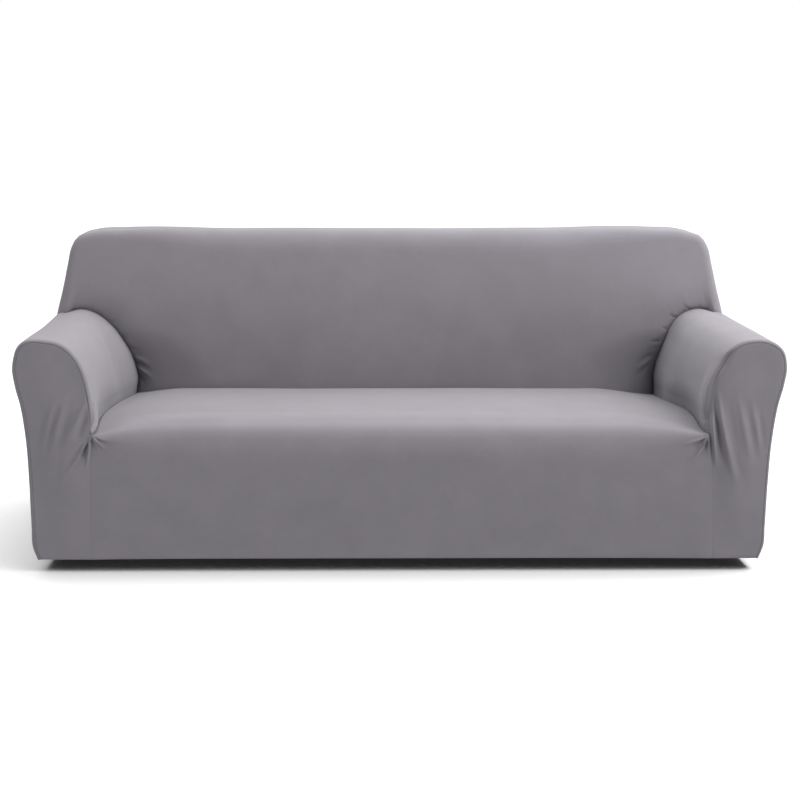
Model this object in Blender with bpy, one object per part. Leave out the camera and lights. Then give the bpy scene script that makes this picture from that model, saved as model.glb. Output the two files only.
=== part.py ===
"""Stretch slipcover for a three-seat sofa with rolled arms, in the shape it has when fitted.

Seven cloth panels, hollow inside and open at the hem. Metres, +Z up, the front towards -Y.
The finished cover's origin is under its middle, level with the lowest point of its hem. Until then
depths are counted back from the plane of the arms' fronts, and heights from the level of the hem.
"""
import bmesh
import bpy
import numpy as np

# Driving dimensions.
SHEET = 0.002          # knit with its brushed face
SEAM_GAP = 0.0003      # between one panel and the next
REAR = 0.875           # the rear plane's depth behind the front plane
MIDDLE = 0.436         # the depth of the cover's middle
HALF_WIDTH = 1.04      # of the lower body
SEAT_SIDE = 0.357      # height of the seat where it meets the arms' fronts
FRONT_ROUND = 0.010    # radius of the arms' front edges
TUCK = 0.022           # how far the cloth is pushed down into the seat's creases
TUCK_ROUND = 0.022     # how far from the back the seat starts to turn down into its crease
SIDE_ROUND = 0.012     # and from the arms
SEAT_SPREAD = 0.012    # how far the seat pushes the arms' inner sides apart
SEAT_CROWN = 0.006     # rise of its sides between front and back
TUCK_START = 0.09      # depth behind the front at which the tuck is full
PINCH = 0.007          # how far the tuck pulls an arm's inner side in behind its front edge
PINCH_LENGTH = 0.12    # part of the arm's length over which that fades
HEM_ROUND = 0.005
HEM_TURN = 0.009       # cloth turned under at the hem
HEM_LIFT = 0.006       # rise of the hem between the corners
HEM_BELOW = 0.005      # how far it reaches below the level from which heights are given
FACE_FOOT = 0.597      # depth of the inside back at seat level
FACE_FOOT_HEIGHT = 0.368
FACE_LEAN = 0.215      # depth gained for each metre up the inside back
FACE_BULGE = 0.012
FACE_HEIGHT = 0.46
REAR_BULGE = 0.008
ARM_FRONT_BULGE = 0.010
SHOULDER_HEIGHT = 0.618    # where an arm's top meets the back's edge
SHOULDER_DROP = 0.061      # fall of that seam on its way to the rear
SIDE_EDGE = 0.034      # radii of the back's front edge, at its sides and along its top
TOP_EDGE = 0.075
EDGE_SOFTNESS = 1.35   # above 1, the front edge sets off from the face more gently
SIDE_REAR_EDGE = 0.015     # radii of the back's rear edge
TOP_REAR_EDGE = 0.040
EDGE_CHANGE = 0.45     # length over which they change, past the top corners
SEAM_FOOT = 0.885      # the seam between seat front and arm front, at the hem
STEP = 1e-4            # for slopes
EDGE_STEP = 2e-3       # how far inside an edge its slope is read

# Round an arm at its front, from the seat crease over the roll and down to the hem.
ARM_FRONT = (
    # place, across, up
    (0.00, 0.852, 0.357),
    (0.35, 0.854, 0.404),
    (0.70, 0.860, 0.461),
    (1.00, 0.876, 0.535),
    (1.25, 0.902, 0.584),
    (1.50, 0.934, 0.612),
    (1.75, 0.982, 0.6245),
    (2.00, 1.032, 0.617),
    (2.25, 1.062, 0.594),
    (2.50, 1.075, 0.551),
    (3.00, 1.070, 0.495),
    (3.15, 1.0575, 0.440),
    (3.35, 1.0465, 0.350),
    (3.60, 1.041, 0.220),
    (3.85, 1.0385, 0.090),
    (4.00, 1.028, 0.000),
)
# The seam between an arm and the inside back, from the seat crease to near the back's edge.
JUNCTION = (
    # place, across, up
    (0.00, 0.822, 0.368),
    (0.35, 0.818, 0.402),
    (0.70, 0.832, 0.450),
    (1.00, 0.862, 0.515),
    (1.25, 0.897, 0.570),
    (1.50, 0.940, 0.606),
    (1.75, 0.990, 0.620),
)
# Half the outline of the back: up the side, round the corner, along the top to the middle.
BACK_OUTLINE = (
    # across, up
    (1.028, 0.000),
    (1.0385, 0.090),
    (1.042, 0.220),
    (1.048, 0.350),
    (1.0595, 0.450),
    (1.070, 0.500),
    (1.075, 0.551),
    (1.069, 0.605),
    (1.052, 0.680),
    (1.035, 0.765),
    (1.025, 0.812),
    (1.003, 0.848),
    (0.955, 0.863),
    (0.860, 0.869),
    (0.500, 0.866),
    (0.000, 0.865),
)
# The middle of the seat panel, from the crease at the back to the hem.
SEAT_MIDDLE = (
    # along, depth, up
    (0.00, 0.590, 0.378),
    (0.33, 0.577, 0.379),
    (0.42, 0.450, 0.384),
    (0.50, 0.310, 0.389),
    (0.58, 0.170, 0.390),
    (0.67, 0.066, 0.385),
    (0.76, 0.029, 0.370),
    (0.86, 0.011, 0.348),
    (1.00, 0.002, 0.315),
    (1.30, -0.003, 0.230),
    (2.00, 0.000, 0.000),
)
# Where the fitted cover sits unevenly: the cloth is shifted round a centre, less towards its reach.
SHIFTS = (
    # centre, reach, shift, in the finished cover's frame
    ((-0.850, 0.190, 0.500), (0.14, 0.24, 0.17), (0.012, 0.0, 0.0)),
    ((-0.858, -0.220, 0.370), (0.10, 0.24, 0.10), (-0.008, 0.0, 0.003)),
    ((-0.885, -0.440, 0.000), (0.13, 0.10, 0.30), (0.008, 0.0, 0.0)),
    ((-0.830, 0.180, 0.400), (0.27, 0.30, 0.18), (0.0, 0.026, 0.0)),
    ((0.845, 0.180, 0.470), (0.15, 0.26, 0.18), (0.022, 0.0, 0.0)),
    ((0.850, 0.200, 0.400), (0.15, 0.24, 0.13), (0.014, 0.0, 0.0)),
    ((0.858, -0.200, 0.370), (0.10, 0.26, 0.10), (0.014, 0.0, 0.008)),
    ((0.880, -0.440, 0.180), (0.14, 0.10, 0.40), (0.011, 0.0, 0.0)),
    ((0.860, -0.440, 0.470), (0.10, 0.12, 0.12), (-0.012, 0.0, 0.0)),
    ((0.835, 0.180, 0.395), (0.27, 0.30, 0.18), (0.0, 0.030, 0.0)),
    ((0.850, 0.190, 0.375), (0.22, 0.22, 0.09), (0.016, 0.0, -0.022)),
    ((-0.840, 0.180, 0.375), (0.20, 0.22, 0.09), (0.0, 0.0, -0.012)),
    ((-1.030, -0.420, 0.617), (0.055, 0.50, 0.045), (-0.006, 0.0, 0.006)),
)
# The main folds on the front: troughs below zero, ridges above.
FOLDS = (
    # across, up, to across, to up, width, height
    (-0.878, 0.338, -0.950, 0.235, 0.020, -0.0040),
    (-0.868, 0.318, -0.900, 0.225, 0.018, 0.0025),
    (-0.960, 0.440, -0.990, 0.310, 0.020, -0.0025),
    (-0.915, 0.440, -0.945, 0.330, 0.020, -0.0020),
    (0.878, 0.440, 0.905, 0.300, 0.020, -0.0045),
    (0.900, 0.440, 0.935, 0.270, 0.018, 0.0030),
    (0.965, 0.440, 0.985, 0.310, 0.020, -0.0025),
    (1.005, 0.440, 1.012, 0.340, 0.020, -0.0020),
)

# How finely each stretch is divided.
HALF_ACROSS = (0.22, 0.42, 0.58, 0.70, 0.76, 0.79, 0.82, 0.88, 0.94, 0.975, 0.99, 1.0)
CORNER_COLUMN = 6      # columns from the back's side seam up to its top corner
INNER_ROWS = 6
ROLL_ROWS = 8
SHOULDER_PLACES = [2.17, 2.33, 2.5, 2.65, 2.8, 2.9, 3.0]
SIDE_ROWS = 10
SEAM_ROWS = len(SHOULDER_PLACES) + SIDE_ROWS - INNER_ROWS
SEAM_BUNCH = 1.4
HEM_ROWS = 2
EDGE_STEPS = 2
ARM_STEPS = 5


def stretch(start, end, count, bunch=1.0):
    """Places from start to end, without the start, bunched towards it above 1."""
    return list(start + (end - start) * np.linspace(0, 1, count + 1)[1:] ** bunch)


def line_lengths(points):
    """The length along a line of points up to each of them."""
    steps = np.linalg.norm(np.diff(points, axis=0), axis=1)
    return np.concatenate([[0], np.cumsum(steps)])


def smooth(table, places):
    """A smooth curve through a table's points, read at places that its first column gives."""
    table = np.array(table)
    points = table[:, 1:]
    knots = line_lengths(points)
    at = np.interp(places, table[:, 0], knots)
    slopes = np.gradient(points, knots, axis=0)
    row = np.clip(np.searchsorted(knots, at, side="right") - 1, 0, len(knots) - 2)
    span = (knots[row + 1] - knots[row])[..., None]
    part = (at - knots[row])[..., None] / span
    near = (1 + 2 * part) * (1 - part) ** 2 * points[row] + part * (1 - part) ** 2 * span * slopes[row]
    return near + part**2 * (3 - 2 * part) * points[row + 1] + part**2 * (part - 1) * span * slopes[row + 1]


OUTLINE = np.column_stack([line_lengths(np.array(BACK_OUTLINE)), BACK_OUTLINE])
OUTLINE_LENGTH = OUTLINE[-1, 0]
SIDE_END = OUTLINE[8, 0]       # lengths along it below the corner and past it
CORNER_END = OUTLINE[12, 0]


def mix(start, end, part):
    return start + (end - start) * part


def ease(part):
    """A part from 0 to 1 that sets off and arrives level."""
    part = np.clip(part, 0, 1)
    return part**2 * (3 - 2 * part)


def quarter(part):
    """A part from 0 to 1 as an angle from 0 to a right angle."""
    return np.clip(part, 0, 1) * np.pi / 2


def outline(length):
    """The back's half outline at a length along it, and the way out from it."""
    point = smooth(OUTLINE, length)
    run = smooth(OUTLINE, length + STEP) - smooth(OUTLINE, length - STEP)
    run /= np.linalg.norm(run, axis=-1, keepdims=True)
    return point, np.stack([run[..., 1], -run[..., 0]], axis=-1)


def side_length(height):
    """How far along the outline its side reaches a height."""
    lengths = np.linspace(0, SIDE_END, 400)
    return np.interp(height, smooth(OUTLINE, lengths)[:, 1], lengths)


def face_depth(across, up):
    """Depth of the inside back, which leans and bulges a little."""
    rise = np.clip((up - FACE_FOOT_HEIGHT) / FACE_HEIGHT, 0, 1.2)
    bulge = FACE_BULGE * (1 - (across / HALF_WIDTH) ** 4) * np.sin(np.pi * rise)
    return FACE_FOOT + FACE_LEAN * (up - FACE_FOOT_HEIGHT) - bulge


def back_band(across, turn):
    """The band round the back's edge, from its face (0) over the edge to the rear plane (1)."""
    start = side_length(SHOULDER_HEIGHT - SHOULDER_DROP * np.clip(turn, 0, 1) ** 1.5)
    length = start + (OUTLINE_LENGTH - start) * (1 - np.abs(across))
    point, out = outline(length)
    past = ease((length - CORNER_END) / EDGE_CHANGE)
    edge = mix(SIDE_EDGE, TOP_EDGE, past)
    rear_edge = mix(SIDE_REAR_EDGE, TOP_REAR_EDGE, past)
    face = point - edge[..., None] * out
    front_turn, rear_turn = quarter(turn / 0.5), quarter((turn - 0.8) / 0.2)
    passed = face + (edge * np.sin(front_turn))[..., None] * out
    gained = face_depth(point[..., 0], point[..., 1]) - face_depth(face[..., 0], face[..., 1])
    turned_back = (1 - np.cos(front_turn)) ** EDGE_SOFTNESS
    depth = face_depth(passed[..., 0], passed[..., 1]) + (edge - gained) * turned_back
    depth = mix(depth, REAR - rear_edge, np.clip((turn - 0.5) / 0.3, 0, 1)) + rear_edge * np.sin(rear_turn)
    inset = edge * (1 - np.sin(front_turn)) + rear_edge * (1 - np.cos(rear_turn))
    flat = point - inset[..., None] * out
    return np.stack([np.sign(across) * flat[..., 0], depth, flat[..., 1]], axis=-1)


SHOULDER = back_band(np.array(1.0), np.array(0.0))
ARM_SEAM = JUNCTION + ((2.0, SHOULDER[0], SHOULDER[2]),)


def side_ease(across):
    """0 in the middle of the seat, 1 at its sides, level where it ends."""
    return 1 - (1 - np.abs(across) ** 12) ** 2


def back_crease(across):
    """Bottom of the crease between the seat and the inside back."""
    half = JUNCTION[0][1]
    up = mix(SEAT_MIDDLE[0][2], JUNCTION[0][2], side_ease(across)) - TUCK
    return np.stack([across * half, face_depth(across * half, up), up], axis=-1)


def junction(place):
    """Where an arm ends at the back: place 0 to 2 on its face, to 3 over its edge, to 4 down the rear."""
    flat = smooth(ARM_SEAM, np.clip(place, 0, 2))
    up = flat[..., 1] - TUCK * np.clip(1 - place / 0.2, 0, 1)
    on_face = np.stack([flat[..., 0], face_depth(flat[..., 0], up), up], axis=-1)
    on_band = back_band(np.ones_like(place), np.clip(place - 2, 0, 1))
    down = np.clip(4 - place, 0, 1) * (SHOULDER_HEIGHT - SHOULDER_DROP)
    side, out = outline(side_length(down))
    side = side - SIDE_REAR_EDGE * out
    on_rear = np.stack([side[..., 0], np.full_like(place, REAR), side[..., 1]], axis=-1)
    on_back = np.where((place > 2)[..., None], on_band, on_face)
    return np.where((place > 3)[..., None], on_rear, on_back)


def arm_end(place):
    """The arm's surface just before it ends at the junction or turns on to the rear plane."""
    end = junction(place)
    side, _ = outline(side_length(end[..., 2]))
    turned = np.clip((place - 2.8) / 0.2, 0, 1)
    across = mix(end[..., 0], side[..., 0], turned)
    return np.stack([across, end[..., 1] - SIDE_REAR_EDGE, end[..., 2]], axis=-1)


def hem_turn(place):
    """Inset and height of the cloth turned under at the hem, for places 0 to 1."""
    part = np.clip(place, 0, 1)
    angle = quarter(part / 0.5)
    inset = HEM_ROUND * (1 - np.cos(angle)) + (HEM_TURN - HEM_ROUND) * np.clip(2 * part - 1, 0, 1)
    return inset, -HEM_ROUND * np.sin(angle)


def arm_point(place, depth):
    """An arm's surface: place round it (0 to 4, hem to 5), depth from its front edge (0) to its end (3)."""
    hem_inset, hem_drop = hem_turn(place - 4)
    wall = np.minimum(place, 4)
    front = smooth(ARM_FRONT, wall)
    run = smooth(ARM_FRONT, wall + STEP) - smooth(ARM_FRONT, wall - STEP)
    run /= np.linalg.norm(run, axis=-1, keepdims=True)
    out = np.stack([-run[..., 1], run[..., 0]], axis=-1)
    front_turn = quarter(depth)
    inset = FRONT_ROUND - (FRONT_ROUND - hem_inset) * np.sin(front_turn)
    start = front - inset[..., None] * out
    start_depth = FRONT_ROUND - (FRONT_ROUND - hem_inset) * np.cos(front_turn)
    end, last = junction(wall), arm_end(wall)
    along = np.clip(depth - 1, 0, 1)
    bend = along ** np.clip(3 - wall, 1, 3)
    rear_turn = quarter(depth - 2)
    across = mix(start[..., 0], last[..., 0] - hem_inset, bend)
    across = mix(across, end[..., 0], np.where(depth > 2, 1 - np.cos(rear_turn), 0))
    away = mix(start_depth, last[..., 1], along)
    away = mix(away, end[..., 1] - hem_inset, np.where(depth > 2, np.sin(rear_turn), 0))
    level = smooth(ARM_SEAM, np.clip(wall, 0, 2))[..., 1]
    up = mix(start[..., 1], np.where(wall < 2, level, last[..., 2]), bend) + hem_drop
    swell = np.sin(np.pi * along) * np.clip(1 - wall, 0, 1) ** 2
    across, up = across + SEAT_SPREAD * swell, up + SEAT_CROWN * swell
    pinch = np.clip(1 - wall / 0.8, 0, 1) ** 2 * np.sin(front_turn) * np.exp(-along / PINCH_LENGTH)
    across = across + PINCH * pinch
    up = up - TUCK * ease(away / TUCK_START) * np.clip(1 - wall / 0.2, 0, 1)
    return np.stack([across, away, up], axis=-1)


def turn_down(distance, reach):
    """The seat's edge as it turns down into a crease, for a distance from it, within its reach."""
    return 1 - np.sqrt(1 - np.clip(1 - distance / reach, 0, 1) ** 2)


def seat_point(across, along):
    """Seat and front: across -1 to 1, along from the back crease (0) to the edge (1), hem (2) and under (3)."""
    hem_inset, hem_drop = hem_turn(along - 2)
    wall = np.minimum(along, 2)
    side = arm_point(np.zeros_like(wall), 3 - 3 * np.clip(wall, 0, 1))
    level = side[..., 2] + TUCK * ease(side[..., 1] / TUCK_START)
    down = np.clip(wall - 1, 0, 1)
    reach = np.where(wall > 1, mix(side[..., 0], SEAM_FOOT, down), side[..., 0]) - SEAM_GAP
    level = np.where(wall > 1, side[..., 2] * (1 - down), level)
    middle = smooth(SEAT_MIDDLE, wall)
    sideways = side_ease(across)
    away = mix(middle[..., 0], side[..., 1], sideways)
    rear = back_crease(across)
    away = mix(away, rear[..., 1] - SEAM_GAP, np.clip(1 - 3 * wall, 0, 1))
    up = mix(middle[..., 1], level, sideways) - SEAM_GAP
    by_side = turn_down((1 - np.abs(across)) * reach, SIDE_ROUND) * ease(away / TUCK_START)
    by_back = turn_down(rear[..., 1] - SEAM_GAP - away, TUCK_ROUND)
    up = up - TUCK * (1 - (1 - by_side) * (1 - by_back))
    return np.stack([across * reach, away + hem_inset, up + hem_drop], axis=-1)


def inner_back_point(across, place):
    """Inside back: across -1 to 1, place as in junction()."""
    foot, edge = back_crease(across), back_band(across, np.zeros_like(across))
    side, low, high = junction(np.minimum(place, 2)), junction(0 * place), junction(0 * place + 2)
    rise = np.minimum(place / 2, 1)
    flat_x = across * side[..., 0] + (1 - rise) * (foot[..., 0] - across * low[..., 0])
    flat_x = flat_x + rise * (edge[..., 0] - across * high[..., 0])
    flat_z = side[..., 2] + (1 - rise) * (foot[..., 2] - low[..., 2]) + rise * (edge[..., 2] - high[..., 2])
    on_face = np.stack([flat_x, face_depth(flat_x, flat_z), flat_z], axis=-1)
    return np.where((place > 2)[..., None], back_band(across, np.clip(place - 2, 0, 1)), on_face)


def grid_of(surface, across, along):
    """Points and outward directions of a surface at every crossing of two lists of places."""
    a, b = np.meshgrid(np.array(across, float), np.array(along, float))
    near_a = np.clip(a, min(across) + EDGE_STEP, max(across) - EDGE_STEP)
    near_b = np.clip(b, min(along) + EDGE_STEP, max(along) - EDGE_STEP)
    out = np.cross(surface(near_a + STEP, near_b) - surface(near_a - STEP, near_b),
                   surface(near_a, near_b + STEP) - surface(near_a, near_b - STEP))
    return surface(a, b), out / np.linalg.norm(out, axis=-1, keepdims=True)


def panel_between(left, right, bottom, top):
    """Fills four edge lines with rows and columns of points, flat in their plane."""
    a = np.linspace(0, 1, len(bottom))[None, :, None]
    b = np.linspace(0, 1, len(left))[:, None, None]
    sides = mix(left[:, None], right[:, None], a)
    ends = mix(bottom[None], top[None], b)
    corners = mix(mix(bottom[0], bottom[-1], a), mix(top[0], top[-1], a), b)
    return sides + ends - corners


def hem_rise(points):
    """Stands the hem's corners on the origin's level, and lifts it between them, fading out up the walls."""
    across, away = points[..., 0] / HALF_WIDTH, 2 * points[..., 1] / REAR - 1
    lift = HEM_LIFT * np.clip(1 - (across * away) ** 6, 0, 1) - HEM_BELOW
    return HEM_ROUND + HEM_BELOW + lift * np.clip(1 - points[..., 2] / SEAT_SIDE, 0, 1)


def shifted(points):
    """Moves cloth by the shifts, the same for every panel, so that seams stay closed."""
    moved = points.copy()
    for centre, reach, shift in SHIFTS:
        away = ((points - np.array(centre)) / np.array(reach)) ** 2
        moved += (np.clip(1 - away.sum(axis=-1), 0, 1) ** 2)[..., None] * np.array(shift)
    return moved


def fold_height(points):
    """Height of the main folds at the cover's front, none behind it."""
    height = np.zeros(points.shape[:-1])
    flat = points[..., [0, 2]]
    for across, up, to_across, to_up, width, tall in FOLDS:
        start, end = np.array([across, up]), np.array([to_across, to_up])
        part = np.clip(((flat - start) @ (end - start)) / ((end - start) @ (end - start)), 0, 1)
        gap = np.linalg.norm(flat - mix(start, end, part[..., None]), axis=-1)
        height += tall * np.exp(-((gap / width) ** 2)) * np.sin(np.pi * (0.08 + 0.84 * part))
    return height * (points[..., 1] < FRONT_ROUND)


def cloth_sheet(name, points, out, material):
    """A closed sheet whose outer face is the grid of points, its inner face one thickness behind."""
    points = points + fold_height(points)[..., None] * out
    points[..., 2] += hem_rise(points)
    points[..., 1] -= MIDDLE
    points = shifted(points)
    rows, columns = points.shape[:2]
    form = bmesh.new()
    bmesh.ops.create_grid(form, x_segments=columns - 1, y_segments=rows - 1, size=1)
    inward = form.verts.layers.float_vector.new("inward")
    for vert, point, way in zip(form.verts, points.reshape(-1, 3), out.reshape(-1, 3)):
        vert.co = point
        vert[inward] = -SHEET * way
    bmesh.ops.triangulate(form, faces=form.faces[:])
    outer = form.verts[:] + form.edges[:] + form.faces[:]
    copy = bmesh.ops.extrude_face_region(form, geom=outer, use_keep_orig=True)
    for vert in copy["geom"]:
        if isinstance(vert, bmesh.types.BMVert):
            vert.co += vert[inward]
    form.verts.layers.float_vector.remove(inward)
    bmesh.ops.recalc_face_normals(form, faces=form.faces[:])
    if form.calc_volume(signed=True) < 0:
        bmesh.ops.reverse_faces(form, faces=form.faces[:])
    mesh = bpy.data.meshes.new(name)
    form.to_mesh(mesh)
    form.free()
    mesh.materials.append(material)
    mesh.shade_smooth()
    mesh.set_sharp_from_angle(angle=0.8)
    panel = bpy.data.objects.new(name, mesh)
    bpy.context.scene.collection.objects.link(panel)
    return panel


def knit(name, colour):
    """Matte brushed stretch knit."""
    material = bpy.data.materials.new(name)
    material.use_nodes = True
    shader = material.node_tree.nodes["Principled BSDF"]
    shader.inputs["Base Color"].default_value = (*colour, 1)
    shader.inputs["Roughness"].default_value = 0.9
    shader.inputs["Metallic"].default_value = 0.0
    return material


def mirrored(points, out):
    """The same surface on the other side of the cover."""
    flip = np.array([-1, 1, 1])
    return points * flip, out * flip


def off_seam(points, edge, inner):
    """Draws one edge of a grid of points back from its seam, towards the next row in."""
    way = points[inner] - points[edge]
    points[edge] += SEAM_GAP * way / np.linalg.norm(way, axis=-1, keepdims=True)


def upright_panel(left, right, top, way, bulge):
    """A panel that faces along Y, way -1 or 1, with its middle bulged and its hem turned under."""
    bottom = mix(left[0], right[0], np.linspace(0, 1, len(top))[:, None])
    points = panel_between(left, right, bottom, top)
    a = np.linspace(0, 1, points.shape[1])[None, :]
    b = np.linspace(0, 1, points.shape[0])[:, None]
    points[..., 1] += way * bulge * (16 * a * (1 - a) * b * (1 - b)) ** 2
    out = np.zeros_like(points) + (0, way, 0)
    for part in stretch(0, 1, HEM_ROWS):
        inset, drop = hem_turn(part)
        turn = quarter(part / 0.5)
        under = points[-len(left)] + np.array([0, -way * inset, drop])
        points = np.concatenate([under[None], points])
        out = np.concatenate([np.zeros_like(under)[None] + (0, way * np.cos(turn), -np.sin(turn)), out])
    return points, out


def arm_front():
    """The right arm's front panel, inside its seams."""
    inner = np.array(stretch(0, 1, INNER_ROWS))
    seam = np.array([1] + stretch(1, 2, SEAM_ROWS, SEAM_BUNCH))[::-1]
    seam_line = seat_point(np.ones_like(seam), seam) + np.array([SEAM_GAP, 0, SEAM_GAP])
    left = np.concatenate([seam_line, arm_point(inner, 0 * inner)])
    outer = np.array([2] + SHOULDER_PLACES + stretch(3, 4, SIDE_ROWS))[::-1]
    over = np.array([1] + stretch(1, 2, ROLL_ROWS))
    return upright_panel(left, arm_point(outer, 0 * outer), arm_point(over, 0 * over), -1, ARM_FRONT_BULGE)


def outer_back(across):
    """The rear panel, inside its seams."""
    side = np.array([3] + stretch(3, 4, SIDE_ROWS))[::-1]
    rim = inner_back_point(np.array(across), np.full(len(across), 3.0))
    corner = len(across) - 1 - CORNER_COLUMN
    right = np.concatenate([junction(side), rim[:corner - 1:-1][1:]])
    left, top = mirrored(right, right)[0], rim[CORNER_COLUMN:corner + 1]
    return upright_panel(left, right, top, 1, REAR_BULGE)


def build():
    for thing in list(bpy.data.objects):
        bpy.data.objects.remove(thing)
    cloth = knit("mauve_grey_knit", (0.235, 0.222, 0.243))
    across = [-place for place in HALF_ACROSS[::-1]] + [0] + list(HALF_ACROSS)
    over_arm = [0] + stretch(0, 1, INNER_ROWS) + stretch(1, 2, ROLL_ROWS) + SHOULDER_PLACES
    round_arm = over_arm + stretch(3, 4, SIDE_ROWS) + stretch(4, 5, HEM_ROWS)
    depths = [0] + stretch(0, 1, EDGE_STEPS) + stretch(1, 2, ARM_STEPS) + stretch(2, 3, EDGE_STEPS)
    along = [1 - depth / 3 for depth in depths[::-1]]
    along += stretch(1, 2, SEAM_ROWS, SEAM_BUNCH) + stretch(2, 3, HEM_ROWS)

    arm, arm_out = grid_of(arm_point, round_arm, depths)
    against_face = np.array(round_arm) < SHOULDER_PLACES[1]
    arm_out[-1][against_face] *= (1, 0, 1)
    off_seam(arm, 0, 1)
    off_seam(arm, -1, -2)
    cloth_sheet("arm_right", arm, arm_out, cloth)
    cloth_sheet("arm_left", *mirrored(arm, arm_out), cloth)
    front, front_out = arm_front()
    cloth_sheet("arm_front_right", front, front_out, cloth)
    cloth_sheet("arm_front_left", *mirrored(front, front_out), cloth)
    seat, seat_in = grid_of(seat_point, across, along)
    corners = [0, 1, -2, -1]
    seat_in[0, corners] = seat_in[1, corners]
    cloth_sheet("seat_front", seat, -seat_in, cloth)
    inner, inner_out = grid_of(inner_back_point, across, over_arm)
    off_seam(inner, -1, -2)
    off_seam(inner, np.s_[:, 0], np.s_[:, 1])
    off_seam(inner, np.s_[:, -1], np.s_[:, -2])
    cloth_sheet("inner_back", inner, inner_out, cloth)
    rear, rear_out = outer_back(across)
    cloth_sheet("outer_back", rear, rear_out, cloth)


build()
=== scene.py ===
"""Looks of a stretch sofa slipcover: seven knit panels sewn into one fitted cover, as it sits over a sofa.

Each panel is a fine sheet on the shape of its CAD node, with its seams drawn in, the folds that the
tucked creases pull into it, and a brushed-knit finish. Metres, +Z up, the front towards -Y.
"""

import bmesh
import bpy
import numpy as np
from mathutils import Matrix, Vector


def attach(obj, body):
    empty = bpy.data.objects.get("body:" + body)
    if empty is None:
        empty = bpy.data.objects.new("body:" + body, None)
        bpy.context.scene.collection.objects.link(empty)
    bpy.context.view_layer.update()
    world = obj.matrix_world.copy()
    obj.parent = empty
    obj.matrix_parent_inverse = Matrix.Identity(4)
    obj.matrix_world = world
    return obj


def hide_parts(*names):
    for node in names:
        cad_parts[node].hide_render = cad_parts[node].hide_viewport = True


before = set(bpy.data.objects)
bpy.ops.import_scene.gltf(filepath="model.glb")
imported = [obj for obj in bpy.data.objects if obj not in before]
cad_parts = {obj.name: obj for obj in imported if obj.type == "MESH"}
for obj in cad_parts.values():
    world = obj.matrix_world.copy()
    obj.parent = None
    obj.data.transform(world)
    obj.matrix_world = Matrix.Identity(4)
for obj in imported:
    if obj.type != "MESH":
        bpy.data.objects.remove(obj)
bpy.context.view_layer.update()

# -------- the cover's own sizes
SHEET = 0.002          # knit with its brushed face
SEAM_GAP = 0.0003      # between one panel and the next, except down the front
REAR = 0.875           # the rear plane's depth behind the front plane
MIDDLE = 0.436         # the depth of the cover's middle
HALF_WIDTH = 1.04      # of the lower body
SEAT_SIDE = 0.357      # height of the seat where it meets the arms' fronts
FRONT_ROUND = 0.010    # radius of the arms' front edges
TUCK = 0.022           # how far the cloth is pushed down into the seat's creases
TUCK_ROUND = 0.022     # how far from the back the seat starts to turn down into its crease
SIDE_ROUND = 0.012     # and from the arms
SEAT_SPREAD = 0.012    # how far the seat pushes the arms' inner sides apart
SEAT_CROWN = 0.006     # rise of its sides between front and back
TUCK_START = 0.09      # depth behind the front at which the tuck is full
PINCH = 0.007          # how far the arm's inner side is pulled towards the front seam by the tuck
PINCH_LENGTH = 0.12    # part of the arm's length over which that fades
PINCH_HEIGHT = 0.8     # and places up its inner side
TUCK_HEIGHT = 0.2      # places up an arm's inner side over which the tuck fades
REAR_START = 2.8       # place at which an arm's end starts to turn on to the rear plane
HEM_ROUND = 0.005      # radius of the hem's fold
HEM_TURN = 0.009       # cloth turned under at the hem
HEM_LIFT = 0.006       # rise of the hem between the corners
HEM_BELOW = 0.005      # how far the walls' foot lies above the corners' level
FACE_FOOT = 0.597      # depth of the inside back at seat level
FACE_FOOT_HEIGHT = 0.368
FACE_LEAN = 0.215      # depth gained for each metre up the inside back
FACE_BULGE = 0.012
FACE_HEIGHT = 0.46
REAR_BULGE = 0.008
REAR_CORNER = 0.5135       # how far round the back's edge, from the arm, the rear panel's side ends
ARM_FRONT_BULGE = 0.010
SHOULDER_HEIGHT = 0.618    # where an arm's top meets the back's edge
SHOULDER_DROP = 0.061
SIDE_EDGE = 0.034      # radii of the back's front edge, at its sides and along its top
TOP_EDGE = 0.075
EDGE_SOFTNESS = 1.35   # above 1, the front edge sets off from the face more gently
SIDE_REAR_EDGE = 0.015     # radii of the back's rear edge
TOP_REAR_EDGE = 0.040
EDGE_CHANGE = 0.45     # length past the corner over which the side's radii change to the top's
FRONT_PART = 0.5       # part of the band round the back at which its front edge ends
REAR_PART = 0.8        # and at which its rear edge starts
SEAM_FOOT = 0.885      # the seam between seat front and arm front, at the hem
STEP = 1e-4            # for slopes

# Round an arm at its front, from the seat crease over the roll and down to the hem.
ARM_FRONT = (
    # place, across, up
    (0.00, 0.852, 0.357),
    (0.35, 0.854, 0.404),
    (0.70, 0.860, 0.461),
    (1.00, 0.876, 0.535),
    (1.25, 0.902, 0.584),
    (1.50, 0.934, 0.612),
    (1.75, 0.982, 0.6245),
    (2.00, 1.032, 0.617),
    (2.25, 1.062, 0.594),
    (2.50, 1.075, 0.551),
    (3.00, 1.070, 0.495),
    (3.15, 1.0575, 0.440),
    (3.35, 1.0465, 0.350),
    (3.60, 1.041, 0.220),
    (3.85, 1.0395, 0.090),
    (3.94, 1.0385, 0.036),
    (4.00, 1.027, 0.000),
)
# The seam between an arm and the inside back, from the seat crease to near the back's edge.
JUNCTION = (
    # place, across, up
    (0.00, 0.822, 0.368),
    (0.35, 0.818, 0.402),
    (0.70, 0.832, 0.450),
    (1.00, 0.862, 0.515),
    (1.25, 0.897, 0.570),
    (1.50, 0.940, 0.606),
    (1.75, 0.990, 0.620),
)
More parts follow.
